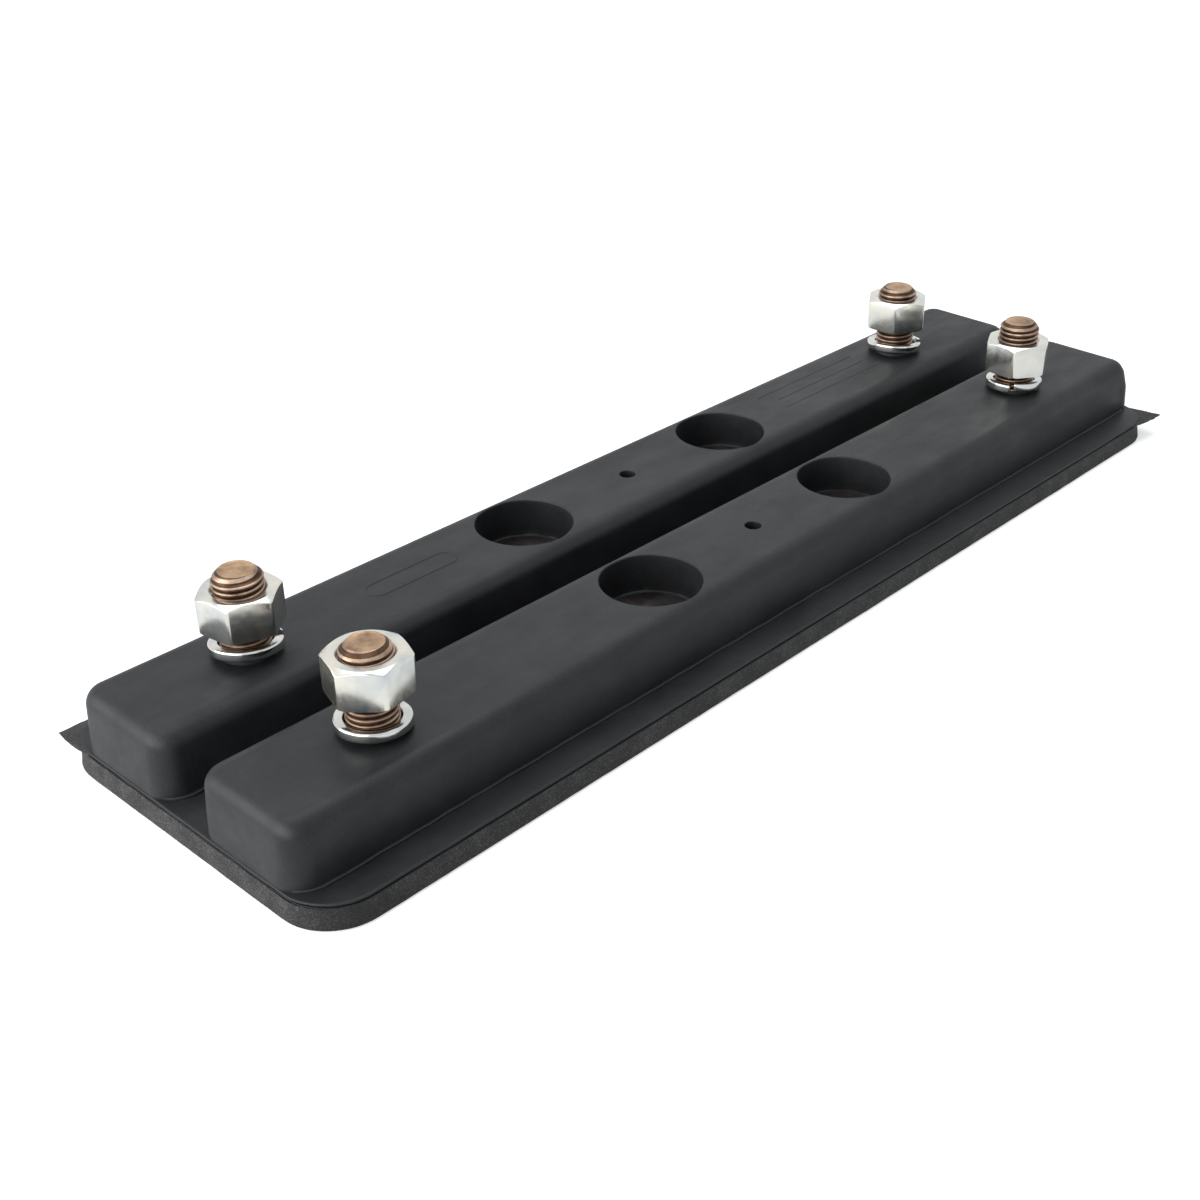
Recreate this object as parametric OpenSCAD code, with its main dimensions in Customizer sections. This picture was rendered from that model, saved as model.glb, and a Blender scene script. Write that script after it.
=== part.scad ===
// Bolt-on rubber pad for a steel track shoe.
// One rubber moulding holds two flat steel core bars, and each core bar holds two threaded studs.
// Origin at the middle of the tread face, +X along the pad, +Z up through the studs. Millimetres.

/* [Slab] */
// Length of the slab at the parting seam
slab_len = 450; // [380:1:520]
// Width of the slab at the parting seam
slab_w = 131; // [122:1:160]
// Corner radius of the slab in plan
slab_corner_r = 17.5; // [14:0.5:28]
// Height of the tread band below the parting groove
band_h = 7.4; // [5:0.1:12]
// How far the tread band spreads outside the seam on each side
band_flare = 1; // [0:0.1:2]
// Chamfer round the tread face
tread_chamfer = 0.8; // [0.3:0.1:1.5]
// Height of the groove along the parting seam
groove_h = 0.8; // [0.4:0.1:1.5]
// Depth of the groove along the parting seam
groove_depth = 0.6; // [0.2:0.1:1.2]
// Thickness of the lip above the groove
lip_h = 0.6; // [0.4:0.1:2]

/* [Bars] */
// Height of the bars above the slab
bar_h = 21.7; // [18:0.1:32]
// Width of a bar at its foot
bar_w = 46; // [42:0.5:52]
// Distance of a bar's end from the slab's end
bar_end_inset = 0.4; // [0.3:0.1:12]
// Corner radius of a bar in plan, at its foot
bar_corner_r = 8.5; // [8.5:0.5:16]
// How far a bar's walls lean in over its height
bar_draft = 1.3; // [0:0.1:2]
// Fillet along a bar's top edges
bar_edge_r = 6; // [2:0.5:7]
// Width of the bead along a bar's foot
bead_w = 1.2; // [0.5:0.1:1.2]
// Height of the bead along a bar's foot
bead_h = 0.9; // [0.4:0.1:1.5]

/* [Recesses and pin holes] */
// Diameter of the four recesses for the shoe's bolt heads
recess_d = 34.8; // [26:0.2:35.6]
// Distance between the two recesses of a bar
recess_pitch = 106; // [60:1:160]
// Diameter of the two holes left by the mould's support pins
pin_hole_d = 6; // [3:0.5:10]

/* [Stud pattern] */
// Distance between the two rows of studs, which is that of the bars too
row_gap = 61; // [58:0.5:68]
// Distance between the studs of a row
stud_pitch = 340; // [230:1:350]
// Shift of the whole hole and stud pattern from the slab's middle
pattern_shift = -7; // [-10:0.5:10]

/* [Flash] */
// Thickness of the flash web left in two corners at the parting seam
flash_t = 1.2; // [0.6:0.1:1.4]

/* [Core bars] */
// Rubber between a core bar's end and the bar's end
core_end_cover = 11.5; // [5:0.5:20]
// Width of a core bar
core_w = 36; // [30:0.5:38]
// Thickness of a core bar
core_t = 6; // [4:0.5:8]
// Corner radius of a core bar in plan
core_corner_r = 3; // [1:0.5:8]
// Rubber between the tread face and the stud heads
tread_cover = 6.6; // [4:0.1:9]

/* [Studs] */
// Thread diameter of a stud
stud_d = 16; // [12:0.5:16]
// Height of a stud above the bar's top
stud_out = 29; // [27:0.5:60]
// Chamfer on a stud's tip
stud_chamfer = 2.2; // [0.5:0.1:3]
// Diameter of a stud's flat head
head_d = 24; // [20:0.5:30]
// Thickness of a stud's flat head
head_t = 3.5; // [2:0.5:5]

/* [Nuts] */
// Width of a nut across its flats
nut_af = 24; // [21:0.5:27]
// Height of a nut
nut_h = 13; // [10:0.5:16]
// Angle of the chamfer on a nut's corners
nut_chamfer_a = 30; // [20:1:40]
// Width of the countersink round a nut's bore
nut_sink = 0.9; // [0.3:0.1:1.5]
// Free space between washer a and its nut
nut_gap_a = 3.5; // [0:0.1:9]
// Free space between washer b and its nut
nut_gap_b = 7.6; // [0:0.1:9]
// Free space between washer c and its nut
nut_gap_c = 5.9; // [0:0.1:9]
// Free space between washer d and its nut
nut_gap_d = 2.7; // [0:0.1:9]

/* [Spring washers] */
// Radial width of a washer's section
washer_w = 3.2; // [2.5:0.1:5]
// Thickness of a washer's section
washer_t = 3.5; // [2.5:0.1:5]
// How far a washer's high end stands above its low end
washer_rise = 1; // [0.5:0.1:5]
// How far loose washer a tips up on its raised side
washer_tip_a = 3.4; // [0:0.1:4]
// How far loose washer b tips up on its raised side
washer_tip_b = 1.7; // [0:0.1:4]
// How far loose washer c tips up on its raised side
washer_tip_c = 3; // [0:0.1:4]
// How far loose washer d tips up on its raised side
washer_tip_d = 1.8; // [0:0.1:4]
// Width of the split in a washer
washer_split = 1.6; // [0.8:0.1:4]

/* [Clearances] */
// Radial space between a stud's thread and what it passes through
thread_gap = 0.1; // [0.05:0.05:0.3]
// Radial space between a stud and its spring washer
washer_gap = 0.4; // [0.2:0.1:1]
// Space between the rubber and the sides of the steel inside it
bond_gap = 0.05; // [0.05:0.05:0.2]

/* [Hidden] */
$fn = 64;

// levels, from the tread face up
seam_top = band_h + groove_h;
slab_top = seam_top + lip_h;
bar_top = slab_top + bar_h;
head_z = tread_cover;
core_z = head_z + head_t;
core_top = core_z + core_t;
stud_top = bar_top + stud_out;

// plan sizes
bar_len = slab_len - 2 * bar_end_inset;
core_len = bar_len - 2 * core_end_cover;
bore_d = stud_d + 2 * thread_gap;
bead_r = min(bead_w, bead_h) * 0.6;
bead_end = 0.2;
lip_r = min(lip_h, 0.5);
cut_over = 1;

// stations: the end and the row of stud a, b, c and d
STATIONS = [[-1, 1], [-1, -1], [1, 1], [1, -1]];
// angle of each nut's first corner, of each washer's split and of its raised side
NUT_TURN = [39.5, 12, 33.5, 26];
SPLIT_TURN = [-28, 15, -48, -152];
TIP_TURN = [-121, -126, -146, -151];
NUT_GAP = [nut_gap_a, nut_gap_b, nut_gap_c, nut_gap_d];
WASHER_TIP = [washer_tip_a, washer_tip_b, washer_tip_c, washer_tip_d];
WASHER_STEPS = 40;

rubber_tone = "#25282b";
steel_tone = "#75706a";
stud_tone = "#a87f56";
zinc_tone = "#d3d3cc";

// moves its children to a stud's axis
module at_stud(i) {
    translate([pattern_shift + STATIONS[i][0] * stud_pitch / 2, STATIONS[i][1] * row_gap / 2, 0])
        children();
}

// moves its children to the middle of a row, above +Y or below -Y
module at_row(side) {
    translate([pattern_shift, side * row_gap / 2, 0]) children();
}

// A rounded block whose wall follows a profile: corner posts, straight walls and a core between them.
// The profile's x is the distance from the corner's axis and its y is the height, from z0 to z1.
module walled_block(len, wid, r, z0, z1) {
    run_x = len - 2 * r;
    run_y = wid - 2 * r;
    for (turn = [0, 90, 180, 270])
        translate([(turn == 0 || turn == 270 ? 1 : -1) * run_x / 2, (turn < 180 ? 1 : -1) * run_y / 2, 0])
            rotate(turn) rotate_extrude(angle = 90) children();
    for (side = [0, 1]) {
        mirror([0, side, 0]) translate([-run_x / 2, run_y / 2, 0])
            rotate([90, 0, 90]) linear_extrude(run_x) children();
        mirror([side, 0, 0]) translate([run_x / 2, run_y / 2, 0])
            rotate([90, 0, 0]) linear_extrude(run_y) children();
    }
    translate([-run_x / 2, -run_y / 2, z0]) cube([run_x, run_y, z1 - z0]);
}

// a quarter of a disc, to round the outer top edge of a profile
module quarter_disc(r) {
    intersection() {
        circle(r);
        square(2 * r);
    }
}

// the slab's edge: chamfered and flared tread band, parting groove and rounded lip
module slab_profile() {
    r = slab_corner_r;
    polygon([[0, 0], [r + band_flare - tread_chamfer, 0], [r + band_flare, tread_chamfer],
             [r, band_h], [r - groove_depth, band_h], [r - groove_depth, seam_top],
             [r, seam_top], [r, slab_top - lip_r], [r - lip_r, slab_top - lip_r],
             [r - lip_r, slab_top], [0, slab_top]]);
    translate([r - lip_r, slab_top - lip_r]) quarter_disc(lip_r);
}

// a bar's edge: drafted wall that runs into the fillet of the top
module bar_profile() {
    lean = atan(bar_draft / bar_h);
    e = bar_edge_r;
    zc = bar_top - e;
    rc = bar_corner_r - (e + (zc - slab_top) * sin(lean)) / cos(lean);
    polygon([[0, slab_top - bead_h], [bar_corner_r, slab_top - bead_h], [bar_corner_r, slab_top],
             [rc + e * cos(lean), zc + e * sin(lean)], [rc, zc], [rc, bar_top], [0, bar_top]]);
    translate([rc, zc]) quarter_disc(e);
}

// the bead along a bar's foot
module bead_profile() {
    r = bar_corner_r + bead_w;
    z = slab_top + bead_h;
    polygon([[0, slab_top - bead_h], [r, slab_top - bead_h], [r, z - bead_r], [r - bead_r, z - bead_r],
             [r - bead_r, z], [0, z]]);
    translate([r - bead_r, z - bead_r]) quarter_disc(bead_r);
}

// one bar, with the bead along both its sides, which fades out round its corners
module raised_bar(side) {
    translate([0, side * row_gap / 2, 0]) {
        walled_block(bar_len, bar_w, bar_corner_r, slab_top - bead_h, bar_top) bar_profile();
        walled_block(bar_len - 2 * bead_end, bar_w + 2 * bead_w, bar_corner_r + bead_w,
                     slab_top - bead_h, slab_top + bead_h) bead_profile();
    }
}

// thin square web left in one corner of the slab
module flash_web(end, side) {
    r = slab_corner_r;
    translate([end * (slab_len - r) / 2, side * (slab_w - r) / 2, band_h + flash_t / 2])
        cube([r, r, flash_t], center = true);
}

// flat bar with rounded corners, widened all round by gap
module core_blank(gap) {
    r = core_corner_r + gap;
    translate([0, 0, core_z]) {
        for (sx = [-1, 1], sy = [-1, 1])
            translate([sx * (core_len / 2 - core_corner_r), sy * (core_w / 2 - core_corner_r), 0])
                cylinder(r = r, h = core_t);
        translate([-core_len / 2 + core_corner_r, -core_w / 2 - gap, 0])
            cube([core_len - 2 * core_corner_r, core_w + 2 * gap, core_t]);
        translate([-core_len / 2 - gap, -core_w / 2 + core_corner_r, 0])
            cube([core_len + 2 * gap, core_w - 2 * core_corner_r, core_t]);
    }
}

module rubber_pad() {
    color(rubber_tone)
    difference() {
        union() {
            walled_block(slab_len, slab_w, slab_corner_r, 0, slab_top) slab_profile();
            for (side = [-1, 1]) raised_bar(side);
            flash_web(-1, 1);
            flash_web(1, -1);
        }
        for (side = [-1, 1]) {
            translate([0, side * row_gap / 2, 0]) core_blank(bond_gap);
            at_row(side) {
                for (end = [-1, 1])
                    translate([end * recess_pitch / 2, 0, core_top - core_t / 2])
                        cylinder(d = recess_d, h = bar_top - core_top + core_t / 2 + cut_over);
                translate([0, 0, core_top - core_t / 2])
                    cylinder(d = pin_hole_d, h = bar_top - core_top + core_t / 2 + cut_over);
            }
        }
        for (i = [0:3]) at_stud(i) {
            translate([0, 0, head_z]) cylinder(d = head_d + 2 * bond_gap, h = head_t);
            translate([0, 0, core_z - head_t / 2])
                cylinder(d = stud_d + 2 * bond_gap, h = bar_top - core_z + head_t / 2 + cut_over);
        }
    }
}

module core_bar(side) {
    color(steel_tone)
    difference() {
        translate([0, side * row_gap / 2, 0]) core_blank(0);
        for (end = [-1, 1])
            at_row(side) translate([end * stud_pitch / 2, 0, core_z - cut_over])
                cylinder(d = bore_d, h = core_t + 2 * cut_over);
    }
}

// threaded stud on a flat head, turned from one profile
module stud(i) {
    r = stud_d / 2;
    color(stud_tone)
    at_stud(i) rotate_extrude()
        polygon([[0, head_z], [head_d / 2, head_z], [head_d / 2, core_z], [r, core_z],
                 [r, stud_top - stud_chamfer], [r - stud_chamfer, stud_top], [0, stud_top]]);
}

// hexagon nut: a six-sided prism trimmed by a turned profile with chamfers and countersinks
module nut(i) {
    r_bore = bore_d / 2;
    r_face = nut_af / 2 * 0.97;
    r_out = nut_af / 2 / cos(30) + 0.6;
    z_out = (r_out - r_face) * tan(nut_chamfer_a);
    z_sink = nut_sink * tan(30);
    color(zinc_tone)
    at_stud(i) translate([0, 0, bar_top + washer_h(i) + NUT_GAP[i]])
        intersection() {
            rotate(NUT_TURN[i]) cylinder(d = nut_af / cos(30), h = nut_h, $fn = 6);
            rotate_extrude()
                polygon([[r_bore + nut_sink, 0], [r_face, 0], [r_out, z_out], [r_out, nut_h - z_out],
                         [r_face, nut_h], [r_bore + nut_sink, nut_h], [r_bore, nut_h - z_sink],
                         [r_bore, z_sink]]);
        }
}

// angle of step k of a washer's turn, from the middle of its split
function washer_angle(k) =
    let (split = washer_split / (stud_d / 2 + washer_gap + washer_w / 2) * 180 / PI)
    split / 2 + (360 - split) * k / WASHER_STEPS;

// how high washer i's underside lies at each step: it falls from the split's high end, and tips
function washer_lift(i) =
    [for (k = [0:WASHER_STEPS]) washer_rise * (1 - k / WASHER_STEPS)
        + WASHER_TIP[i] * (1 + cos(washer_angle(k) + SPLIT_TURN[i] - TIP_TURN[i])) / 2];

// height of washer i as it lies on the bar
function washer_h(i) = washer_t + max(washer_lift(i)) - min(washer_lift(i));

// one ring of four section corners, at angle a and height z
function washer_ring(a, z) =
    let (r0 = stud_d / 2 + washer_gap, r1 = r0 + washer_w)
    [for (c = [[r0, 0], [r1, 0], [r1, washer_t], [r0, washer_t]]) [c[0] * cos(a), c[0] * sin(a), z + c[1]]];

// split spring washer: a rectangular section swept through one left-handed turn, loose on its stud
module spring_washer(i) {
    n = WASHER_STEPS;
    lift = washer_lift(i);
    color(zinc_tone)
    at_stud(i) translate([0, 0, bar_top]) rotate(SPLIT_TURN[i])
        polyhedron(
            points = [for (k = [0:n]) each washer_ring(washer_angle(k), lift[k] - min(lift))],
            faces = [[0, 1, 2, 3], [4 * n + 3, 4 * n + 2, 4 * n + 1, 4 * n],
                     for (k = [0:n - 1], j = [0:3])
                         [4 * k + j, 4 * k + 4 + j, 4 * k + 4 + (j + 1) % 4, 4 * k + (j + 1) % 4]]);
}

rubber_pad();
core_bar(1);  // core_bar_far
core_bar(-1);  // core_bar_near
stud(0);  // stud_a
stud(1);  // stud_b
stud(2);  // stud_c
stud(3);  // stud_d
nut(0);  // nut_a
nut(1);  // nut_b
nut(2);  // nut_c
nut(3);  // nut_d
spring_washer(0);  // spring_washer_a
spring_washer(1);  // spring_washer_b
spring_washer(2);  // spring_washer_c
spring_washer(3);  // spring_washer_d
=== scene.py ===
"""Dresses the bolt-on rubber pad: moulded rubber, threaded studs, hexagon nuts and spring washers.

Lengths are in millimetres here and become metres when a mesh is made.
"""
import math

import bmesh
import bpy
from mathutils import Matrix, Vector, noise
from mathutils.geometry import tessellate_polygon


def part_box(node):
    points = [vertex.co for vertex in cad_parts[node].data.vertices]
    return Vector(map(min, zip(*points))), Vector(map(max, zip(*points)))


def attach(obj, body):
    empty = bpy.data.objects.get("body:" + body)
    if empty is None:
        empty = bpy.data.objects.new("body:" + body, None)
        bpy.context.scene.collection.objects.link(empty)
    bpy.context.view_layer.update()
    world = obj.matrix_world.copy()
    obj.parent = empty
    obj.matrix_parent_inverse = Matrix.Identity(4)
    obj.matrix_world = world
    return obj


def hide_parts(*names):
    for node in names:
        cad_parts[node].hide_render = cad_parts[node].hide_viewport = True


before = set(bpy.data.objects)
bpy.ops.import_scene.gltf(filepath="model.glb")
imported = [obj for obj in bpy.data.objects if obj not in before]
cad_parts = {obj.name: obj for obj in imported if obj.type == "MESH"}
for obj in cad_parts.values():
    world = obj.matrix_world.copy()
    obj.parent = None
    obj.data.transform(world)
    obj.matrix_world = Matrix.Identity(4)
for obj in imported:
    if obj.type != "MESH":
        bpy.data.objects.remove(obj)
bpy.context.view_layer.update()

MM = 0.001

# slab
SLAB_L, SLAB_W, SLAB_R = 450.0, 131.0, 17.5
BAND_H, FLARE, TREAD_EDGE = 7.4, 1.0, 0.8
GROOVE_H, GROOVE_D, LIP_H, LIP_R = 0.8, 0.6, 0.6, 0.45
SEAM_TOP = BAND_H + GROOVE_H
SLAB_TOP = SEAM_TOP + LIP_H
# bars
END_INSET = 0.4
BAR_L, BAR_W, BAR_R, BAR_H = SLAB_L - 2 * END_INSET, 46.0, 8.5, 21.7
BAR_TOP = SLAB_TOP + BAR_H
DRAFT, EDGE_R = 1.3, 6.0
BEAD_W, BEAD_H, BEAD_R, BEAD_END = 1.2, 0.9, 0.5, 0.2
ROW_Y = 30.5
# how far the near bar's corner at +X -Y is filled out, and the width of the marks' ridges
CORNER_FILL, RIDGE_W = 1.9, 0.7
# flash webs: level, how far they start inside the slab, half thickness there and how much it thins
WEB_Z, WEB_ROOT, WEB_HALF, WEB_THINS = 8.0, 1.5, 0.55, 0.3
# holes in the bars: place along the bar, radius and how far the rim is rounded
SHIFT = -7.0
HOLES = [(SHIFT - 53.0, 17.4, 0.5), (SHIFT, 3.0, 0.3), (SHIFT + 53.0, 17.4, 0.5)]
CORE_TOP = 16.1
# studs, nuts and washers
STUD_X, STUD_R, STUD_TOP = 170.0, 8.0, 59.5
HEAD_Z, CORE_Z, HEAD_R = 6.6, 10.1, 12.0
STATIONS = {"a": (-1, 1), "b": (-1, -1), "c": (1, 1), "d": (1, -1)}
NUT_AF, NUT_CORNER_R = 23.8, 1.8
# radii of the nuts' upper and lower flat faces
NUT_TOP_R, NUT_FOOT_R = 11.2, 12.6
NUT_TURN = {"a": 39.5, "b": 12.0, "c": 33.5, "d": 26.0}
SPLIT_TURN = {"a": -28.0, "b": 15.0, "c": -48.0, "d": -152.0}
TIP_TURN = {"a": -121.0, "b": -126.0, "c": -146.0, "d": -151.0}
WASHER_TIP = {"a": 3.4, "b": 1.7, "c": 3.0, "d": 1.8}
WASHER_R, WASHER_T, WASHER_W, WASHER_RISE, WASHER_SPLIT = 8.4, 3.5, 3.2, 1.0, 1.6
WASHER_EDGE_R = 0.8
THREAD_TURN = {"a": 0.15, "b": 0.6, "c": 0.35, "d": 0.8}

# a bar's section: the wall leans in, then the top's fillet starts
LEAN = math.atan(DRAFT / BAR_H)
FILLET_Z = BAR_TOP - EDGE_R
FILLET_X = BAR_R - (EDGE_R + (FILLET_Z - SLAB_TOP) * math.sin(LEAN)) / math.cos(LEAN)
HALF_FLAT = BAR_W / 2 - BAR_R + FILLET_X
# the walls end and the top begins at this angle of the fillet, outside the recesses
TOP_FROM = math.radians(52)
FILLET_ARC = EDGE_R * (math.pi / 2 - TOP_FROM)
TOP_ARC = FILLET_ARC + HALF_FLAT


def wave(*at):
    """smooth repeatable noise between -1 and 1"""
    return noise.noise(Vector(at))


class Shell:
    """collects points and faces of one piece, in millimetres"""

    def __init__(self):
        self.points, self.faces, self.marks = [], [], []

    def ring(self, pts):
        start = len(self.points)
        self.points.extend(pts)
        return list(range(start, start + len(pts)))

    def face(self, ids, mark=0):
        self.faces.append(tuple(ids))
        self.marks.append(mark)

    def bridge(self, low, high, mark=0, closed=True):
        n = len(low)
        for i in range(n if closed else n - 1):
            j = (i + 1) % n
            self.face((low[i], low[j], high[j], high[i]), mark)

    def stack(self, rings, mark=0, flip=False):
        for low, high in zip(rings, rings[1:]):
            self.bridge(high if flip else low, low if flip else high, mark)

    def fill(self, loops, mark=0, down=False):
        """flat face inside the first loop, outside the others"""
        ids = [i for loop in loops for i in loop]
        tris = tessellate_polygon([[Vector(self.points[i]) for i in loop] for loop in loops])
        for t in tris:
            a, b, c = (ids[i] for i in t)
            pa, pb, pc = (self.points[i] for i in (a, b, c))
            up = (pb[0] - pa[0]) * (pc[1] - pa[1]) - (pb[1] - pa[1]) * (pc[0] - pa[0])
            if abs(up) < 1e-9:
                continue
            if (up < 0) != down:
                a, b = b, a
            self.face((a, b, c), mark)

    def piece(self, name, mats, replaces=(), angle=35.0, merge=None, outward=False):
        mesh = bpy.data.meshes.new(name)
        mesh.from_pydata([(x * MM, y * MM, z * MM) for x, y, z in self.points], [], self.faces)
        for m in mats:
            mesh.materials.append(m)
        mesh.polygons.foreach_set("material_index", self.marks)
        if merge or outward:
            bm = bmesh.new()
            bm.from_mesh(mesh)
            if merge:
                bmesh.ops.remove_doubles(bm, verts=bm.verts, dist=merge * MM)
            if outward:
                bmesh.ops.recalc_face_normals(bm, faces=bm.faces)
            bm.to_mesh(mesh)
            bm.free()
        mesh.shade_smooth()
        mesh.set_sharp_from_angle(angle=math.radians(angle))
        mesh.validate()
        obj = bpy.data.objects.new(name, mesh)
        bpy.context.scene.collection.objects.link(obj)
        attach(obj, "root")
        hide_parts(*replaces)
        return obj


def arc_points(cx, cz, r, a0, a1, n):
    """points of an arc in a section, angles in degrees"""
    turns = [math.radians(a0 + (a1 - a0) * i / n) for i in range(n + 1)]
    return [(cx + r * math.cos(a), cz + r * math.sin(a)) for a in turns]


def circle(cx, cy, r, z, n=96):
    turns = [2 * math.pi * i / n for i in range(n)]
    return [(cx + r * math.cos(a), cy + r * math.sin(a), z) for a in turns]


def evenly(a, b, step):
    """values from a to b, both left out"""
    n = max(1, round(abs(b - a) / step))
    return [a + (b - a) * i / n for i in range(1, n)]


def outline(length, width, r, step=3.0, arc=14, xs=None, cy=0.0):
    """Round a rounded rectangle from its corner at +X -Y: axis x and y, normal x and y, distance along.

    xs are the places of the points on the long sides, where they aren't evenly spaced."""
    hx, hy = length / 2 - r, width / 2 - r
    xs = xs or evenly(-hx, hx, step)
    ys = evenly(-hy, hy, step)
    out, along = [], 0.0
    for k in range(4):
        sx, sy = (1 if k in (0, 1) else -1), (1 if k in (1, 2) else -1)
        for i in range(arc + 1):
            a = math.radians(270 + 90 * k + 90 * i / arc)
            here = along + r * math.radians(90 * i / arc)
            out.append((sx * hx, cy + sy * hy, math.cos(a), math.sin(a), here))
        along += r * math.pi / 2
        for t in (ys, xs[::-1], ys[::-1], xs)[k]:
            if k % 2:
                far = hx - t if k == 1 else hx + t
                out.append((t, cy + sy * hy, 0.0, float(sy), along + far))
            else:
                far = hy + t if k == 0 else hy - t
                out.append((sx * hx, cy + t, float(sx), 0.0, along + far))
        along += 2 * hy if k % 2 == 0 else 2 * hx
    return out


def loft(shell, line, profile, mark=0, sway=None):
    """rings round the line, one for each (reach, height) of the profile; gives the first and the last"""
    rings = []
    for reach, z in profile:
        pts = []
        for ax, ay, nx, ny, s in line:
            dr, dz = sway(s, z, nx, ny) if sway else (0.0, 0.0)
            pts.append((ax + nx * (reach + dr), ay + ny * (reach + dr), z + dz))
        rings.append(shell.ring(pts))
    shell.stack(rings, mark)
    return rings[0], rings[-1]


# ---------------------------------------------------------------- materials

class Nodes:
    """short forms for building one procedural material"""

    def __init__(self, name, **sockets):
        self.mat = bpy.data.materials.new(name)
        self.mat.use_nodes = True
        self.tree = self.mat.node_tree
        self.tree.nodes.clear()
        self.out = self.new("ShaderNodeOutputMaterial")
        self.bsdf = self.new("ShaderNodeBsdfPrincipled")
        self.link(self.bsdf.outputs["BSDF"], self.out.inputs["Surface"])
        self.co = self.new("ShaderNodeTexCoord").outputs["Object"]
        for k, v in sockets.items():
            self.bsdf.inputs[k.replace("_", " ")].default_value = v

    def new(self, kind, **props):
        n = self.tree.nodes.new(kind)
        for k, v in props.items():
            setattr(n, k, v)
        return n

    def link(self, a, b):
        self.tree.links.new(a, b)

    def scaled(self, scale):
        n = self.new("ShaderNodeMapping")
        n.inputs["Scale"].default_value = scale
        self.link(self.co, n.inputs["Vector"])
        return n.outputs["Vector"]

    def noise(self, scale, detail=3.0, rough=0.5, co=None):
        n = self.new("ShaderNodeTexNoise")
        n.inputs["Scale"].default_value = scale
        n.inputs["Detail"].default_value = detail
        n.inputs["Roughness"].default_value = rough
        self.link(co or self.co, n.inputs["Vector"])
        return n.outputs["Fac"]

    def span(self, value, a, b, c, d):
        """maps a..b to c..d, held at the ends"""
        n = self.new("ShaderNodeMapRange")
        self.link(value, n.inputs["Value"])
        for k, v in zip(("From Min", "From Max", "To Min", "To Max"), (a, b, c, d)):
            n.inputs[k].default_value = v
        return n.outputs["Result"]

    def ramp(self, value, stops):
        n = self.new("ShaderNodeValToRGB")
        el = n.color_ramp.elements
        while len(el) < len(stops):
            el.new(0.5)
        for e, (p, c) in zip(el, stops):
            e.position = p
            e.color = (*c, 1.0)
        self.link(value, n.inputs["Fac"])
        return n.outputs["Color"]

    def math(self, op, a, b):
        n = self.new("ShaderNodeMath", operation=op)
        for i, v in enumerate((a, b)):
            if isinstance(v, (int, float)):
                n.inputs[i].default_value = v
            else:
                self.link(v, n.inputs[i])
        return n.outputs["Value"]

    def bump(self, height, depth, after=None):
        n = self.new("ShaderNodeBump")
        n.inputs["Strength"].default_value = 1.0
        n.inputs["Distance"].default_value = depth
        self.link(height, n.inputs["Height"])
        if after:
            self.link(after, n.inputs["Normal"])
        return n.outputs["Normal"]

    def to(self, name, value):
        self.link(value, self.bsdf.inputs[name])


def rubber_material():
    """satin black rubber: cloudy tone and gloss, slow waves and a few fine cracks"""
    m = Nodes("rubber_satin", IOR=1.36, Specular_Tint=(0.90, 0.96, 1.0, 1.0))
    mottle = m.noise(60.0, 5.0, 0.65)
    fine = m.noise(1500.0, 3.0, 0.6)
    slow = m.noise(22.0, 2.0, 0.5, m.scaled((0.6, 1.0, 1.0)))
    tone = m.math("ADD", m.math("MULTIPLY", mottle, 0.6), m.math("MULTIPLY", fine, 0.4))
    m.to("Base Color", m.ramp(tone, [(0.3, (0.0075, 0.0078, 0.0085)), (0.5, (0.013, 0.0134, 0.0145)),
                                     (0.7, (0.021, 0.0214, 0.0230))]))
    cloud = m.noise(1.0, 4.0, 0.6, m.scaled((45.0, 110.0, 110.0)))
    gloss = m.math("ADD", m.math("MULTIPLY", slow, 0.4), m.math("MULTIPLY", cloud, 0.6))
    m.to("Roughness", m.span(gloss, 0.34, 0.66, 0.38, 0.58))
    normal = m.bump(fine, 0.00003, m.bump(slow, 0.00016))
    cells = m.new("ShaderNodeTexVoronoi", feature="DISTANCE_TO_EDGE")
    cells.inputs["Scale"].default_value = 26.0
    m.link(m.scaled((0.5, 1.4, 1.0)), cells.inputs["Vector"])
    crack = m.span(cells.outputs["Distance"], 0.0, 0.012, 1.0, 0.0)
    part = m.span(m.noise(35.0, 2.0, 0.5), 0.6, 0.66, 0.0, 1.0)
    m.to("Normal", m.bump(m.math("MULTIPLY", crack, part), 0.000035, normal))
    return m.mat


def band_material():
    """grainy rubber of the tread band, greyer at the pad's -X end, with painted shade at its corner at -X -Y
    """
    m = Nodes("rubber_grainy", IOR=1.4)
    sep = m.new("ShaderNodeSeparateXYZ")
    m.link(m.co, sep.inputs["Vector"])
    # greyer towards the pad's -X end
    greyer_end = m.span(sep.outputs["X"], -0.226, -0.205, 0.015, 0.0)
    near_side = m.span(sep.outputs["Y"], -0.064, -0.05, 1.0, 0.0)
    # painted shade: the -Y side is darkened near the pad's -X corner
    dark = m.math("MULTIPLY", near_side, m.span(sep.outputs["X"], -0.215, -0.19, 0.1, 0.0))
    fine = m.noise(1900.0, 2.0, 0.6)
    grain = m.math("ADD", m.math("MULTIPLY", fine, 0.75), m.math("MULTIPLY", m.noise(160.0), 0.25))
    tone = m.math("ADD", grain, m.math("SUBTRACT", greyer_end, dark))
    m.to("Base Color", m.ramp(tone, [(0.36, (0.004, 0.004, 0.004)), (0.5, (0.022, 0.022, 0.022)),
                                     (0.66, (0.075, 0.075, 0.073)), (0.85, (0.14, 0.14, 0.135))]))
    m.to("Roughness", m.span(fine, 0.3, 0.7, 0.62, 0.8))
    m.to("Normal", m.bump(fine, 0.0005, m.bump(m.noise(300.0), 0.0002)))
    return m.mat


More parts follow.
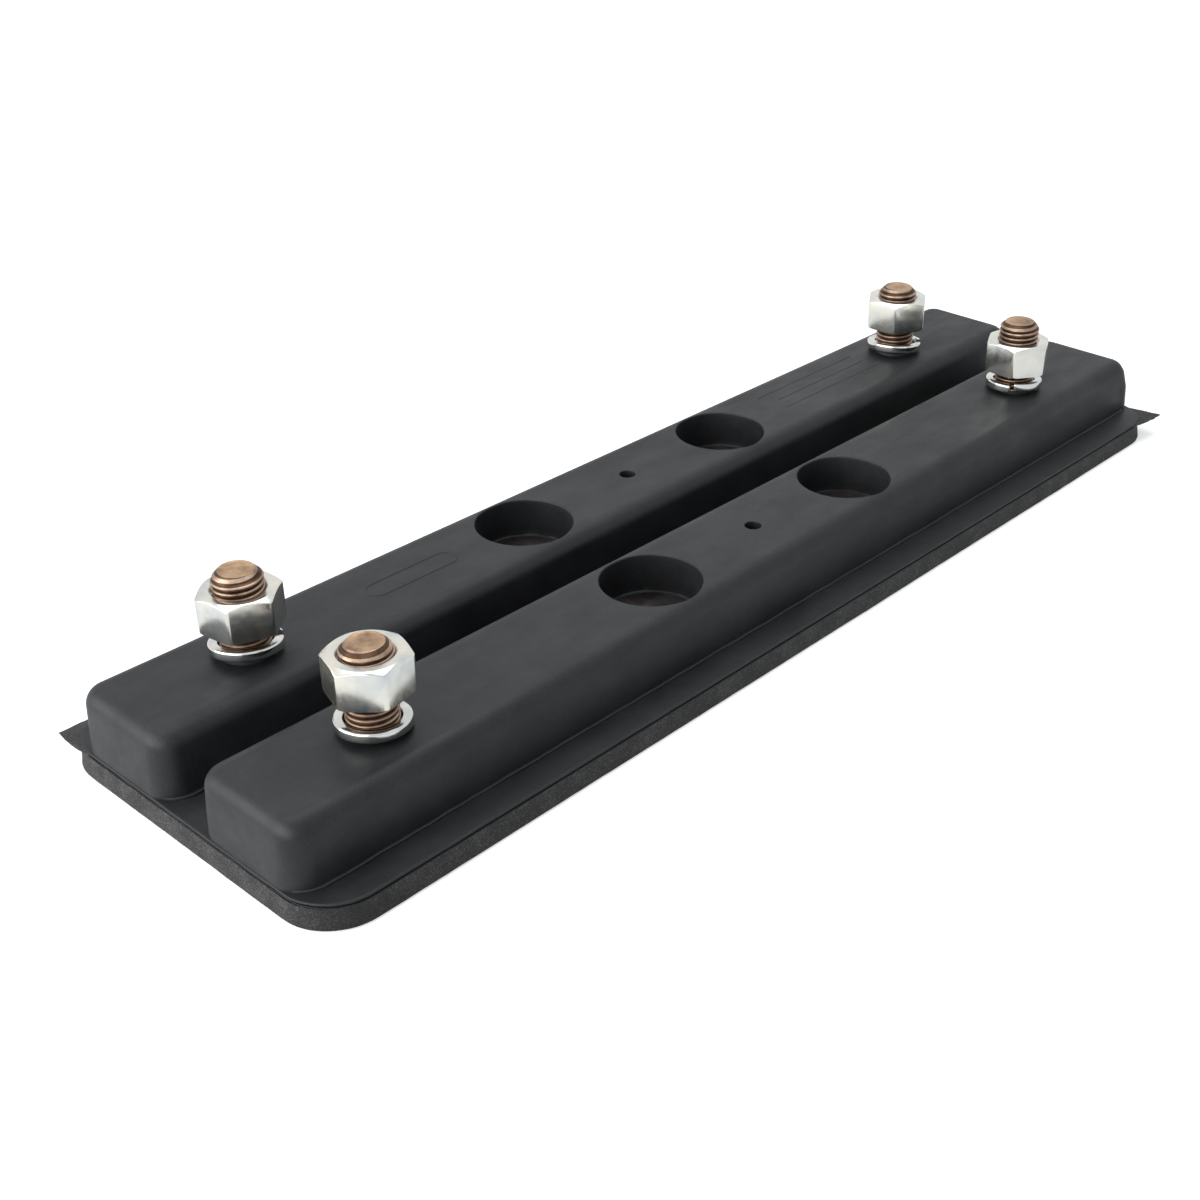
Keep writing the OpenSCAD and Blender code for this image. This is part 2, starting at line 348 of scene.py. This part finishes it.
def zinc_material(name, tones, rough, metallic=1.0):
    """zinc plate in three tones, from its bluish to its yellowish cast"""
    m = Nodes(name, Metallic=metallic)
    m.to("Base Color", m.ramp(m.noise(120.0, 3.0, 0.55), list(zip((0.3, 0.52, 0.7), tones))))
    m.to("Roughness", m.span(m.noise(420.0, 3.0, 0.6), 0.3, 0.7, *rough))
    m.to("Normal", m.bump(m.noise(150.0, 2.0, 0.5), 0.00003))
    return m.mat


def steel_material(name, tones, rough, metallic=1.0, patch=160.0):
    """stained steel: three tones in patches under a fine grain"""
    m = Nodes(name, Metallic=metallic)
    m.to("Base Color", m.ramp(m.noise(patch, 4.0, 0.6), list(zip((0.3, 0.5, 0.72), tones))))
    m.to("Roughness", m.span(m.noise(500.0, 3.0, 0.6), 0.3, 0.7, *rough))
    m.to("Normal", m.bump(m.noise(1500.0, 3.0, 0.6), 0.00003))
    return m.mat


RUBBER, BAND = rubber_material(), band_material()
NUT_ZINC = zinc_material(
    "zinc_bright", [(0.52, 0.55, 0.56), (0.66, 0.66, 0.61), (0.74, 0.71, 0.63)], (0.16, 0.26), 0.96)
# the washers' zinc: tones a little darker than the nuts', as painted shade from the nuts above
WIRE_ZINC_SHADED = zinc_material(
    "zinc_wire_shaded", [(0.50, 0.52, 0.53), (0.62, 0.62, 0.60), (0.70, 0.69, 0.65)], (0.10, 0.20))
CREST = steel_material(
    "stud_crest", [(0.17, 0.11, 0.075), (0.33, 0.23, 0.17), (0.52, 0.39, 0.31)], (0.32, 0.5))
# thread roots: tones far darker than the crests', for dirt and painted shade in the roots
ROOT = steel_material(
    "stud_root_dirt_and_shade", [(0.035, 0.022, 0.015), (0.07, 0.042, 0.028), (0.14, 0.085, 0.05)], (0.4, 0.6))
STUD_END = steel_material(
    "stud_end", [(0.20, 0.13, 0.085), (0.36, 0.24, 0.15), (0.54, 0.37, 0.22)], (0.36, 0.55))
CORE = steel_material(
    "core_dull_steel", [(0.02, 0.016, 0.016), (0.045, 0.04, 0.041), (0.10, 0.075, 0.07)],
    (0.36, 0.56), 0.75, 110.0)


# ---------------------------------------------------------------- rubber

def make_slab(shell):
    line = outline(SLAB_L, SLAB_W, SLAB_R, 3.0, 16)
    r = SLAB_R

    def rough(s, z, nx, ny):
        if z < 0.05:
            return 0.12 * wave(s / 6, 3.1, 0.7), 0.0
        return 0.10 * wave(s / 5, z / 2, 5.3) + 0.12 * wave(s / 40, z / 9, 1.9), 0.0

    def seam(s, z, nx, ny):
        # deeper and rougher along the end at -X
        end = max(0.0, -nx)
        deep = (0.12 + 0.3 * end) * wave(s / 7, 2.2, 8.0) + 0.10 * wave(s / 2.5, 7.0, z) - 0.4 * end
        return (deep if BAND_H < z < SEAM_TOP else 0.5 * deep), (0.06 + 0.16 * end) * wave(s / 6, 4.0, z)

    def lips(s, z, nx, ny):
        return 0.16 * wave(s / 9, 6.6, 2.0) + 0.10 * wave(s / 3, 3.0, 3.0), 0.05 * wave(s / 6, 1.0, 9.0)

    wide, rise = r + FLARE, BAND_H - 0.25 - TREAD_EDGE
    band = [(wide - TREAD_EDGE - 0.8, 0.0)] + arc_points(wide - TREAD_EDGE, TREAD_EDGE, TREAD_EDGE, -90, 0, 5)
    band += [(wide - FLARE * i / 6, TREAD_EDGE + rise * i / 6) for i in range(1, 7)]
    first, _ = loft(shell, line, band, 1, rough)
    shell.fill([first], 1, down=True)
    groove = [(r, BAND_H - 0.25), (r - 0.08, BAND_H - 0.06), (r - 0.25, BAND_H), (r - GROOVE_D, BAND_H + 0.1),
              (r - GROOVE_D, SEAM_TOP - 0.1), (r - 0.2, SEAM_TOP)]
    loft(shell, line, groove, 0, seam)
    lip = [(r - 0.2, SEAM_TOP), (r, SEAM_TOP + 0.06)]
    lip += arc_points(r - LIP_R, SLAB_TOP - LIP_R, LIP_R, 0, 90, 5) + [(r - 1.3, SLAB_TOP - 0.02)]
    _, last = loft(shell, line, lip, 0, lips)
    inner = shell.ring([(ax + nx * (r - 2.2), ay + ny * (r - 2.2), SLAB_TOP) for ax, ay, nx, ny, s in line])
    shell.bridge(last, inner)
    shell.fill([inner])


def top_point(u):
    """distance from the bar's middle line and height, at arc length u from where the top begins"""
    if u < FILLET_ARC:
        a = TOP_FROM + u / EDGE_R
        return HALF_FLAT + EDGE_R * math.cos(a), FILLET_Z + EDGE_R * math.sin(a)
    return HALF_FLAT - (u - FILLET_ARC), BAR_TOP


def top_arc(v):
    """arc length from where the top begins to distance v from the middle line"""
    if v > HALF_FLAT:
        return EDGE_R * (math.acos((v - HALF_FLAT) / EDGE_R) - TOP_FROM)
    return TOP_ARC - v


def top_stations(end):
    """places along the bar with the half width that a hole takes there, denser at the holes"""
    out, x = [], -end
    for hx, hr, rim in HOLES:
        r, n = hr + rim, (60 if hr > 5 else 24)
        out += [(t, 0.0) for t in evenly(x, hx - r, 5.0)]
        out += [(hx - r * math.cos(math.pi * i / n), r * math.sin(math.pi * i / n) if 0 < i < n else 0.0)
                for i in range(n + 1)]
        x = hx + r
    return out + [(t, 0.0) for t in evenly(x, end, 5.0)]


def sink_hole(shell, loop, hx, cy, hr, rim):
    """rounded rim and wall of a hole, down to the core bar, from the loop of its edge"""
    edge = [shell.points[i] for i in loop]
    turns = [math.atan2(y - cy, x - hx) for x, y, z in edge]

    def ring(r, level, uneven, spread):
        """r is the radius, level gives the height under an edge point, spread the pace of the unevenness"""
        pts = []
        for a, (x, y, z) in zip(turns, edge):
            zz = level(z)
            rr = r + uneven * wave(spread * math.cos(a), spread * math.sin(a), zz / 6 + hx + cy)
            pts.append((hx + rr * math.cos(a), cy + rr * math.sin(a), zz))
        return shell.ring(pts)

    rings = [loop]
    for r, dz in arc_points(hr + rim, -rim, rim, 90, 180, 5)[1:]:
        rings.append(ring(r, lambda z: z + dz, 0.0, 1.0))
    foot = CORE_TOP + 0.6
    for i in range(1, 7):
        rings.append(ring(hr, lambda z: z - rim + (foot - z + rim) * i / 6, 0.06, 4.0))
    # thin skin of rubber that crept over the floor's edge
    for back, z in ((0.12, 0.3), (0.5, 0.1), (0.9, -0.05)):
        rings.append(ring(hr - back, lambda _: CORE_TOP + z, 0.25, 3.0))
    shell.stack(rings)


def make_top(shell, line, edge, stations, cy):
    """a bar's top: strips across the bar between its edge ring and the middle line or the holes"""
    arcs = [FILLET_ARC * k / 6 for k in range(7)] + [TOP_ARC - v for v in (15.3, 12.5, 9.0, 5.0, 0.0)]
    end = BAR_L / 2 - BAR_R
    columns = []
    for x, hole in [(-end, 0.0)] + stations + [(end, 0.0)]:
        share = top_arc(hole) / TOP_ARC
        pair = []
        for sy in (1, -1):
            j = min((abs(ax - x) + abs(ny - sy), e) for (ax, ay, nx, ny, s), e in zip(line, edge)
                    if abs(nx) < 1e-6)[1]
            pts = [top_point(u * share) for u in arcs[1:]]
            pair.append([j] + shell.ring([(x, cy + sy * v, z) for v, z in pts]))
        if not hole:
            pair[1][-1] = pair[0][-1]
        columns.append(pair)
    for left, right in zip(columns, columns[1:]):
        shell.bridge(right[0], left[0], closed=False)
        shell.bridge(left[1], right[1], closed=False)
    xs = [-end] + [x for x, hole in stations] + [end]
    for hx, hr, rim in HOLES:
        i0, i1 = (min(range(len(xs)), key=lambda i: abs(xs[i] - hx - t * (hr + rim))) for t in (-1, 1))
        loop = [columns[i][0][-1] for i in range(i1, i0 - 1, -1)]
        loop += [columns[i][1][-1] for i in range(i0 + 1, i1)]
        sink_hole(shell, loop, hx, cy, hr, rim)
    return columns, arcs


def make_end_cap(shell, line, edge, column, arcs, sx, cy):
    """rings on the fillet round one end of a bar, and the flat face inside them"""
    corner_x = BAR_L / 2 - BAR_R
    span = [j for j, (ax, ay, nx, ny, s) in enumerate(line)
            if ax * sx > 0 and (nx * sx > 1e-6 or abs(abs(ax) - corner_x) < 1e-6)]
    start, stop = (column[1], column[0]) if sx > 0 else (column[0], column[1])
    last = [edge[j] for j in span]
    flat = 7
    for k in range(1, flat + 1):
        v, z = top_point(arcs[k])
        reach = v - BAR_W / 2 + BAR_R
        pts = [line[j] for j in span[1:-1]]
        inner = shell.ring([(ax + nx * reach, ay + ny * reach, z) for ax, ay, nx, ny, s in pts])
        ring = [start[k]] + inner + [stop[k]]
        shell.bridge(last, ring, closed=False)
        last = ring
    shell.fill([last + stop[flat + 1:] + start[flat + 1:-1][::-1]])


def make_bar(shell, side):
    cy = side * ROW_Y
    offset = 500 * (side + 1)

    def uneven(s, z, nx, ny):
        if z < SLAB_TOP - 0.1:
            return 0.0, 0.0
        s, calm = s + offset, 1.0 - min(1.0, 1.5 * abs(nx))
        reach = 0.26 * wave(s / 11, 0.3, 4.4) + 0.16 * wave(s / 3.5, 8.3, 1.4)
        return calm * reach, calm * (0.20 * wave(s / 8, 5.5, 6.1) + 0.10 * wave(s / 2.7, 2.4, 3.8))

    def walls(s, z, nx, ny):
        s += offset
        high = min(1.0, max(0.0, (FILLET_Z + 3 - z) / 9))
        fade = min(1.0, max(0.0, (z - SLAB_TOP - 0.5) / 5)) * high
        # one corner of the near bar is filled out, and so tighter than the others
        tight = CORNER_FILL * high * (2 * nx * -ny) ** 2 if nx > 0 > ny and side < 0 else 0.0
        return tight + fade * (0.14 * wave(s / 60, z / 25, 7.7) + 0.05 * wave(s / 18, z / 10, 2.9)), 0.0

    r, z = BAR_R + BEAD_W, SLAB_TOP + BEAD_H
    bead = [(r, SLAB_TOP - 0.5)] + arc_points(r - BEAD_R, z - BEAD_R, BEAD_R, 0, 100, 7)
    bead += [(r - 1.5, z - 0.1)]
    loft(shell, outline(BAR_L - 2 * BEAD_END, BAR_W + 2 * BEAD_W, r, cy=cy), bead, 0, uneven)

    stations = top_stations(BAR_L / 2 - BAR_R)
    line = outline(BAR_L, BAR_W, BAR_R, xs=[x for x, hole in stations], cy=cy)
    start = (FILLET_X + EDGE_R * math.cos(LEAN), FILLET_Z + EDGE_R * math.sin(LEAN))
    rows = 8
    wall = [(BAR_R, SLAB_TOP - 0.4), (BAR_R, SLAB_TOP)]
    wall += [(BAR_R + (start[0] - BAR_R) * i / rows, SLAB_TOP + (start[1] - SLAB_TOP) * i / rows)
             for i in range(1, rows)]
    wall += arc_points(FILLET_X, FILLET_Z, EDGE_R, math.degrees(LEAN), math.degrees(TOP_FROM), 8)
    _, edge = loft(shell, line, wall, 0, walls)
    columns, arcs = make_top(shell, line, edge, stations, cy)
    make_end_cap(shell, line, edge, columns[-1], arcs, 1, cy)
    make_end_cap(shell, line, edge, columns[0], arcs, -1, cy)


def make_ridge(shell, cx, cy, length, width, rise, hollow=True):
    """a low round-ended ridge on a bar's top: a plain frame, or a plain line"""
    r = width / 2 - 0.01
    line = [(ax + cx, ay, nx, ny, s) for ax, ay, nx, ny, s in outline(length, width, r, 3.0, 10, cy=cy)]
    half = RIDGE_W / 2
    if hollow:
        profile = [(r + half, -0.05), (r + 0.4 * half, rise), (r - 0.4 * half, rise), (r - half, -0.05)]
    else:
        profile = [(r, -0.05), (r - 0.6 * half, rise)]
    _, last = loft(shell, line, [(reach, BAR_TOP + dz) for reach, dz in profile])
    if not hollow:
        shell.fill([last])


def make_shade_collar(shell, cx, cy):
    """dark ring of rubber round a stud's foot, inside its washer: painted shade and grime there"""
    rings = []
    for r, z in ((8.36, -0.1), (8.34, 0.7), (8.2, 1.1), (7.9, 1.2)):
        pts = [(x, y, BAR_TOP + z + 0.25 * wave(x / 3, y / 3, z)) for x, y, _ in circle(cx, cy, r, 0, 48)]
        rings.append(shell.ring(pts))
    shell.stack(rings)


def make_ear(shell, ex, ey, reach, rag, bulge, notch):
    """Thin web of flash that fills a corner of the seam.

    ex and ey are the corner's signs, reach how far the tip stands out, rag how ragged the edge is.
    bulge pushes out its edge along the slab's end, and notch sinks it, both halfway to the tip."""
    cx, cy = ex * (SLAB_L / 2 - SLAB_R), ey * (SLAB_W / 2 - SLAB_R)
    turn = {(-1, 1): 90, (1, -1): 270}[(ex, ey)]
    n, steps = 64, 6
    rays = []
    for i in range(n + 1):
        a = math.radians(turn + 90 * i / n)
        c, s = math.cos(a), math.sin(a)
        mid = math.sin(math.pi * i / n)
        far = SLAB_R / max(abs(c), abs(s))
        far += mid ** 2 * (reach + rag * (wave(i / 5, 2.0, reach) + 0.5 * wave(i / 1.7, 6.0, reach)))
        half = max(0.0, (i - n / 2) / (n / 2))
        far += (bulge - notch) * math.sin(math.pi * half ** 0.8)
        rays.append((c, s, far))
    # the web starts inside the slab and gets thinner towards its edge
    foot = SLAB_R - WEB_ROOT
    tops, bots = [], []
    for k in range(steps + 1):
        t = k / steps
        half = WEB_HALF - WEB_THINS * t
        spots = [(cx + c * (foot + (far - foot) * t), cy + s * (foot + (far - foot) * t))
                 for c, s, far in rays]
        lifts = [WEB_Z + 0.25 * rag * wave(x / 6, y / 6, 3.0) * t for x, y in spots]
        tops.append(shell.ring([(x, y, z + half) for (x, y), z in zip(spots, lifts)]))
        bots.append(shell.ring([(x, y, z - half) for (x, y), z in zip(spots, lifts)]))
    for k in range(steps):
        shell.bridge(tops[k + 1], tops[k], 1, closed=False)
        shell.bridge(bots[k], bots[k + 1], 1, closed=False)
    shell.bridge(bots[-1], tops[-1], 1, closed=False)


body = Shell()
make_slab(body)
for side in (1, -1):
    make_bar(body, side)
# generic marks on the far bar: a plain frame, and plain lines from one x to another at a y
make_ridge(body, cx=-111.0, cy=31.0, length=37.0, width=8.4, rise=0.16)
for x0, x1, y in ((80.0, 144.0, 40.0), (86.0, 144.0, 33.0), (82.0, 148.0, 26.0)):
    make_ridge(body, cx=(x0 + x1) / 2, cy=y, length=x1 - x0, width=0.9, rise=0.12, hollow=False)
# dark rubber rings at the studs' feet: painted shade and grime
for sx, sy in STATIONS.values():
    make_shade_collar(body, SHIFT + sx * STUD_X, sy * ROW_Y)
make_ear(body, -1, 1, reach=0.0, rag=0.35, bulge=0.9, notch=0.0)
make_ear(body, 1, -1, reach=3.0, rag=1.1, bulge=0.0, notch=1.8)
body.piece("rubber_body", [RUBBER, BAND], ["rubber_pad"], 38.0)


# ---------------------------------------------------------------- metal

PITCH = 2.0
# one turn of the thread as (share of the pitch, radius): root, flank, crest, flank
THREAD = [(0.0, 6.85), (0.08, 6.80), (0.17, 6.85), (0.27, 7.22), (0.37, 7.60), (0.46, 7.93), (0.50, 7.99),
          (0.585, 8.0), (0.67, 7.99), (0.71, 7.93), (0.80, 7.60), (0.90, 7.22)]
# thread faces below this radius are roots, which take the dirt and painted shade material
DIRT_AND_SHADE_BELOW = 7.5
TURN_STEPS = 72
TIP_R = 5.65
SHANK_Z = 12.0


def stud_axis(key):
    sx, sy = STATIONS[key]
    return SHIFT + sx * STUD_X, sy * ROW_Y


def thread(shell, cx, cy, z0, z1, grow, limit, phase, inside=False):
    """Helical thread between two levels; limit gives the reach that a level allows.

    The roots carry the shell's second material."""
    levels = [(j + p, r) for j in range(-2, int((z1 - z0) / PITCH) + 3) for p, r in THREAD]
    columns = []
    for i in range(TURN_STEPS + 1):
        a = 2 * math.pi * i / TURN_STEPS
        col = []
        for p, r in levels:
            z = min(max(z0 + PITCH * (p + i / TURN_STEPS + phase), z0), z1)
            reach = max(r + grow, limit(z)) if inside else min(r + grow, limit(z))
            if z in (z0, z1):
                reach = limit(z)
            col.append((cx + reach * math.cos(a), cy + reach * math.sin(a), z))
        columns.append(shell.ring(col))
    for left, right in zip(columns, columns[1:]):
        if inside:
            left, right = right, left
        for k in range(len(levels) - 1):
            # faces in the roots take the darker material: dirt and painted shade
            dark = (levels[k][1] + levels[k + 1][1]) / 2 < DIRT_AND_SHADE_BELOW
            shell.face((left[k], right[k], right[k + 1], left[k + 1]), int(dark))


def make_stud(key):
    cx, cy = stud_axis(key)
    sh = Shell()
    chamfer = lambda z: TIP_R + STUD_TOP - z if z > SHANK_Z else STUD_R
    thread(sh, cx, cy, SHANK_Z, STUD_TOP, 0.0, chamfer, THREAD_TURN[key])
    # sawn end with a small rounded rim
    rim = [(TIP_R, 0.06), (TIP_R - 0.12, 0.06), (TIP_R - 0.3, 0.02), (TIP_R - 0.55, -0.08)]
    rim += [(4.0, -0.08), (1.0, -0.08)]
    rings = [sh.ring(circle(cx, cy, r, STUD_TOP - 0.06 + dz, TURN_STEPS)) for r, dz in rim]
    sh.stack(rings, 2)
    sh.fill([rings[-1]], 2)
    # shank and flat head inside the rubber
    head = [(0.5, HEAD_Z), (HEAD_R - 0.6, HEAD_Z), (HEAD_R, HEAD_Z + 0.5), (HEAD_R, CORE_Z), (STUD_R, CORE_Z),
            (STUD_R, SHANK_Z)]
    rings = [sh.ring(circle(cx, cy, r, z, TURN_STEPS)) for r, z in head]
    sh.fill([rings[0]], down=True)
    sh.stack(rings)
    mats = [CREST, ROOT, STUD_END]
    sh.piece("threaded_stud_" + key, mats, ["stud_" + key], 50.0, merge=0.002)


def hex_line(turn):
    """points round a hexagon with rounded corners, from its corner at angle turn"""
    corner, flat = NUT_CORNER_R, 8
    out = (NUT_AF / 2 - corner) / math.cos(math.radians(30))
    corners = [(out * math.cos(math.radians(turn + 60 * k)), out * math.sin(math.radians(turn + 60 * k)))
               for k in range(7)]
    pts = []
    for k in range(6):
        (ax, ay), (bx, by) = corners[k], corners[k + 1]
        for i in range(9):
            a = math.radians(turn + 60 * k - 30 + 60 * i / 8)
            pts.append((ax + corner * math.cos(a), ay + corner * math.sin(a)))
        m = math.radians(turn + 60 * k + 30)
        for i in range(1, flat):
            t = i / flat
            pts.append((ax + (bx - ax) * t + corner * math.cos(m), ay + (by - ay) * t + corner * math.sin(m)))
    return pts


def make_nut(key):
    cx, cy = stud_axis(key)
    low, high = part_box("nut_" + key)
    z0, z1 = low[2] / MM, high[2] / MM
    sh = Shell()
    line = hex_line(NUT_TURN[key])
    slope = math.tan(math.radians(30))

    def skin(face, top):
        """rings from the side over the chamfer to the flat face, whose radius is face"""
        end, sign = (z1, -1) if top else (z0, 1)
        rings = []
        for back, down in ((0.0, 0.28), (0.05, 0.12), (0.2, 0.02), (0.5, 0.0)):
            pts = []
            for x, y in line:
                d = math.hypot(x, y)
                drop = max(0.0, (d - back - face) * slope) + down
                pts.append((cx + x * (d - back) / d, cy + y * (d - back) / d, end + sign * drop))
            rings.append(sh.ring(pts))
        for r in (face, face - 0.35, 10.2, 9.05):
            pts = []
            for x, y in line:
                d = math.hypot(x, y)
                # the flat face ends inside the hexagon's flats
                held = min(r, d - 0.6)
                pts.append((cx + x * held / d, cy + y * held / d, end))
            rings.append(sh.ring(pts))
        sh.stack(rings, flip=not top)
        return rings

    upper, lower = skin(NUT_TOP_R, True), skin(NUT_FOOT_R, False)
    sh.bridge(lower[0], upper[0])
    rim = 8.85
    for rings, z, down in ((upper, z1, False), (lower, z0, True)):
        sh.fill([rings[-1], sh.ring(circle(cx, cy, rim, z, TURN_STEPS))], down=down)
    sink = lambda z: max(rim - (z1 - z) * 1.5, rim - (z - z0) * 1.5)
    phase = (THREAD_TURN[key] + (SHANK_Z - z0) / PITCH) % 1.0 - 1.0
    thread(sh, cx, cy, z0, z1, 0.1, sink, phase, inside=True)
    sh.marks = [0] * len(sh.marks)
    sh.piece("hex_nut_" + key, [NUT_ZINC], ["nut_" + key], 24.0, merge=0.002)


def make_washer(key):
    """a square section swept through one left-handed turn, tipped up on the side where it stands free"""
    cx, cy = stud_axis(key)
    sh = Shell()
    r0, r1, t, c = WASHER_R, WASHER_R + WASHER_W, WASHER_T, WASHER_EDGE_R
    mid = ((r0 + r1) / 2, t / 2)
    corners = ((r1 - c, t - c, 0), (r0 + c, t - c, 90), (r0 + c, c, 180), (r1 - c, c, 270))
    section = [(px, pz) for x, z, a in corners for px, pz in arc_points(x, z, c, a, a + 90, 4)]
    split = math.degrees(WASHER_SPLIT / mid[0])
    # the ends of the wire have slightly rounded edges
    n, edge = 96, 0.004
    shares = [0.0, edge] + [i / n for i in range(1, n)] + [1.0 - edge, 1.0]
    lifts = [WASHER_RISE * (1 - k) + WASHER_TIP[key] / 2 * (1 + math.cos(math.radians(
        SPLIT_TURN[key] - TIP_TURN[key] + split / 2 + (360 - split) * k))) for k in shares]
    rings = []
    for k, lift in zip(shares, lifts):
        a = math.radians(SPLIT_TURN[key] + split / 2 + (360 - split) * k)
        z = BAR_TOP + lift - min(lifts)
        tuck = 0.88 if k in (0.0, 1.0) else 1.0
        spots = [(mid[0] + (px - mid[0]) * tuck, mid[1] + (pz - mid[1]) * tuck) for px, pz in section]
        rings.append(sh.ring([(cx + px * math.cos(a), cy + px * math.sin(a), z + pz) for px, pz in spots]))
    sh.stack(rings)
    sh.face(rings[0])
    sh.face(rings[-1])
    sh.piece("split_washer_" + key, [WIRE_ZINC_SHADED], ["spring_washer_" + key], 40.0, outward=True)


for key in STATIONS:
    make_stud(key)
    make_nut(key)
    make_washer(key)

for name in ("core_bar_far", "core_bar_near"):
    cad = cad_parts[name]
    cad.data.materials.clear()
    cad.data.materials.append(CORE)
    for p in cad.data.polygons:
        p.material_index = 0


# ---------------------------------------------------------------- stage

FLOOR_HALF = 6.0
# the floor's own level: from and to these distances from the pad in metres, from and to these strengths
FLOOR_GLOW = (0.6, 2.2, 0.5, 1.0)
FLOOR_MIRRORED = 0.15
DAYLIGHT = 0.45


def seen_level(tree, camera, mirrored):
    """A strength that only the camera, and mirrors and glass, see.

    camera is a number or a node's output, mirrored a number."""
    def math_node(op, a, b):
        n = tree.nodes.new("ShaderNodeMath")
        n.operation = op
        for i, v in enumerate((a, b)):
            if isinstance(v, float):
                n.inputs[i].default_value = v
            else:
                tree.links.new(v, n.inputs[i])
        return n.outputs["Value"]

    path = tree.nodes.new("ShaderNodeLightPath").outputs
    bounced = math_node("MAXIMUM", path["Is Glossy Ray"], path["Is Transmission Ray"])
    return math_node("MAXIMUM", math_node("MULTIPLY", path["Is Camera Ray"], camera),
                     math_node("MULTIPLY", bounced, mirrored))


def make_floor():
    """pale floor: it takes the shadow, and looks white behind the pad"""
    half = FLOOR_HALF
    mesh = bpy.data.meshes.new("studio_floor")
    corners = [(-half, -half, 0), (half, -half, 0), (half, half, 0), (-half, half, 0)]
    mesh.from_pydata(corners, [], [(0, 1, 2, 3)])
    obj = bpy.data.objects.new("studio_floor", mesh)
    bpy.context.scene.collection.objects.link(obj)
    mat = bpy.data.materials.new("floor_white")
    mat.use_nodes = True
    t = mat.node_tree
    t.nodes.clear()
    out = t.nodes.new("ShaderNodeOutputMaterial")
    diffuse = t.nodes.new("ShaderNodeBsdfDiffuse")
    diffuse.inputs["Color"].default_value = (0.8, 0.8, 0.8, 1.0)
    glow = t.nodes.new("ShaderNodeEmission")
    # the lamps reach the far floor less, so its own level rises with distance from the pad
    place = t.nodes.new("ShaderNodeTexCoord")
    away = t.nodes.new("ShaderNodeVectorMath")
    away.operation = "LENGTH"
    t.links.new(place.outputs["Object"], away.inputs[0])
    level = t.nodes.new("ShaderNodeMapRange")
    t.links.new(away.outputs["Value"], level.inputs["Value"])
    for socket, v in zip(("From Min", "From Max", "To Min", "To Max"), FLOOR_GLOW):
        level.inputs[socket].default_value = v
    t.links.new(seen_level(t, level.outputs["Result"], FLOOR_MIRRORED), glow.inputs["Strength"])
    both = t.nodes.new("ShaderNodeAddShader")
    t.links.new(diffuse.outputs[0], both.inputs[0])
    t.links.new(glow.outputs[0], both.inputs[1])
    t.links.new(both.outputs[0], out.inputs["Surface"])
    mesh.materials.append(mat)
    obj.location.z = -0.0002


def make_world():
    """soft cool daylight all round, which the camera and mirrors see as white"""
    world = bpy.data.worlds.new("studio")
    bpy.context.scene.world = world
    world.use_nodes = True
    t = world.node_tree
    t.nodes.clear()
    out = t.nodes.new("ShaderNodeOutputWorld")
    shades = []
    for color, strength in (((0.92, 0.95, 1.0, 1.0), DAYLIGHT), ((1.0, 1.0, 1.0, 1.0), 1.0)):
        sky = t.nodes.new("ShaderNodeBackground")
        sky.inputs["Color"].default_value = color
        sky.inputs["Strength"].default_value = strength
        shades.append(sky.outputs[0])
    mix = t.nodes.new("ShaderNodeMixShader")
    for source, socket in zip((seen_level(t, 1.0, 1.0), *shades), mix.inputs):
        t.links.new(source, socket)
    t.links.new(mix.outputs[0], out.inputs["Surface"])


def lamp(name, at, size, power, color):
    """a soft box aimed at the pad's middle"""
    data = bpy.data.lights.new(name, "AREA")
    data.shape = "RECTANGLE"
    data.size, data.size_y = size
    data.energy = power
    data.color = color
    obj = bpy.data.objects.new(name, data)
    bpy.context.scene.collection.objects.link(obj)
    obj.location = at
    obj.rotation_euler = (-Vector(at)).to_track_quat("-Z", "Y").to_euler()


make_floor()
make_world()
lamp("softbox_top", (0.1, 0.3, 1.5), (1.6, 1.2), 13.0, (0.93, 0.97, 1.0))
lamp("softbox_left", (-1.5, 0.25, 0.6), (2.6, 1.15), 42.0, (1.0, 0.99, 0.97))

# the camera as fitted to the photo: its place in metres and its three axes
CAMERA_AT = (-0.412861, -0.357262, 0.302345)
CAMERA_X = (0.669209, -0.743049, 0.006063)
CAMERA_Y = (0.371457, 0.341589, 0.863329)
CAMERA_Z = (-0.643567, -0.575496, 0.504605)
LENS, SENSOR = 49.887, 36.0
SHIFT_X, SHIFT_Y = -0.06334, 0.00305

cam_data = bpy.data.cameras.new("camera")
cam_data.sensor_width = SENSOR
cam_data.lens = LENS
cam_data.shift_x = SHIFT_X
cam_data.shift_y = SHIFT_Y
cam_data.clip_start = 0.01
cam_data.clip_end = 30.0
cam = bpy.data.objects.new("camera", cam_data)
bpy.context.scene.collection.objects.link(cam)
view = Matrix((Vector(CAMERA_X), Vector(CAMERA_Y), Vector(CAMERA_Z))).transposed().to_4x4()
view.translation = Vector(CAMERA_AT)
cam.matrix_world = view
bpy.context.scene.camera = cam
bpy.context.scene.view_settings.view_transform = "Standard"
